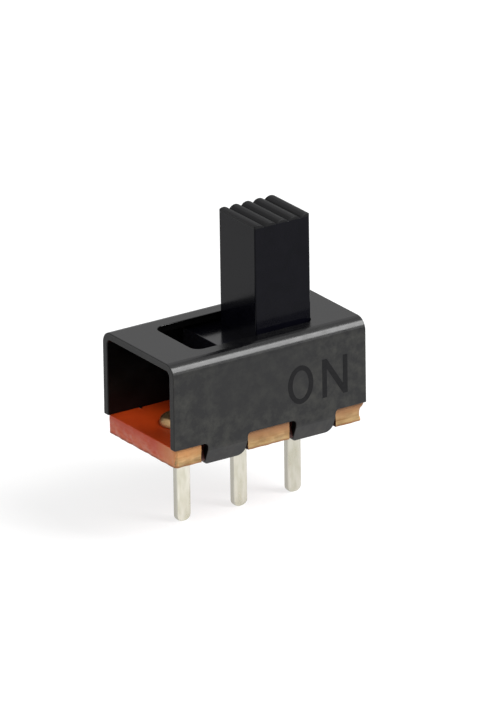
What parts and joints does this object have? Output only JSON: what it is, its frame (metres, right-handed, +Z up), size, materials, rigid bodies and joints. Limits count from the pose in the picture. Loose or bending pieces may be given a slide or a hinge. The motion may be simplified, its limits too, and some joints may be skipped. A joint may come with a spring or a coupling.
{
  "type": "slide switch",
  "caption": "Miniature slide switch for a printed board: folded steel cover over a laminate base with in-line pins, and an upright ridged handle that slides along a slot.",
  "frame": {"origin": "middle of the underside of the base, where the middle pin leaves it", "axes": "+X along the slide towards the end where the handle stands at rest, +Y across it, +Z up along the handle"},
  "size_m": [0.0088, 0.0048, 0.0117],
  "materials": {
    "black_steel": "glossy black coating",
    "phenolic_laminate": "satin, sheared edges",
    "tinned_brass": "bright tin plate",
    "black_nylon": "satin moulding",
    "spring_bronze": "bright rolled strip"
  },
  "bodies": {
    "housing": {"cover": "black_steel", "base": "phenolic_laminate", "left_terminal": "tinned_brass", "common_terminal": "tinned_brass", "right_terminal": "tinned_brass"},
    "slider": {"slider": "black_nylon", "moving_contact": "spring_bronze"}
  },
  "joints": [
    {"name": "handle_slide", "type": "slide", "parent": "housing", "child": "slider", "axis": [1, 0, 0], "range_m": [-0.00286, 0]}
  ]
}
